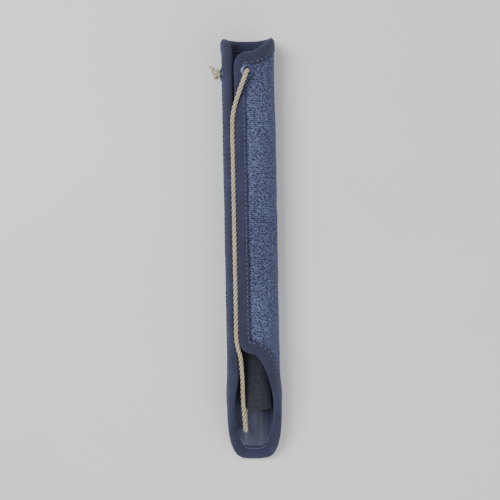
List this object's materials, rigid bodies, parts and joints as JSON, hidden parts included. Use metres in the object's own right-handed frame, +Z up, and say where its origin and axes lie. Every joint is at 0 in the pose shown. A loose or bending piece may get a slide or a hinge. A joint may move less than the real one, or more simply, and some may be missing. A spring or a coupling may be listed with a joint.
{
  "type": "formed sock aid",
  "caption": "Curled terry-covered sock aid with a slick lining, bound edges, rounded toe, and twisted pull cords with foam grips stowed inside it.",
  "frame": {"origin": "middle of the trough's flat underside", "axes": "+Z up out of the trough, +Y along it from the toe end to the heel end, +X to the right seen from above with the toe end near the viewer"},
  "size_m": [0.0452, 0.31, 0.0449],
  "materials": {
    "terry": "looped terry towelling, matte",
    "nylon": "slick woven nylon, satin",
    "core_plastic": "smooth flexible sheet",
    "binding_tape": "ribbed woven tape with stitching",
    "eyelet_metal": "satin enamel",
    "cord_cotton": "twisted cotton strands, matte",
    "tie_elastic": "woven elastic",
    "foam": "closed-cell foam, matte",
    "liner_plastic": "smooth",
    "washer_plastic": "smooth"
  },
  "bodies": {
    "trough": {"terry_cover": "terry", "core_shell": "core_plastic", "nylon_lining": "nylon", "left_edge_binding": "binding_tape", "right_edge_binding": "binding_tape", "toe_binding": "binding_tape", "heel_binding": "binding_tape", "left_eyelet": "eyelet_metal", "left_eyelet_washer": "eyelet_metal", "left_anchor_knot": "cord_cotton", "right_eyelet": "eyelet_metal", "right_eyelet_washer": "eyelet_metal", "right_anchor_knot": "cord_cotton", "right_cord_run": "cord_cotton", "right_cord_hank": "cord_cotton", "right_cord_lead": "cord_cotton", "left_cord_run": "cord_cotton", "left_cord_hank": "cord_cotton", "left_cord_lead": "cord_cotton", "hank_tie": "tie_elastic", "right_knot_washer": "washer_plastic", "right_end_knot": "cord_cotton", "left_knot_washer": "washer_plastic", "left_end_knot": "cord_cotton"},
    "right_grip": {"right_foam_grip": "foam", "right_grip_liner": "liner_plastic"},
    "left_grip": {"left_foam_grip": "foam", "left_grip_liner": "liner_plastic"}
  },
  "joints": [
    {"name": "right_grip_spin", "type": "hinge", "parent": "trough", "child": "right_grip", "pos_m": [0.0026, -0.081, 0.0149], "axis": [0, 1, 0], "continuous": true},
    {"name": "left_grip_spin", "type": "hinge", "parent": "trough", "child": "left_grip", "pos_m": [0.0026, 0.09, 0.0149], "axis": [0, 1, 0], "continuous": true}
  ]
}
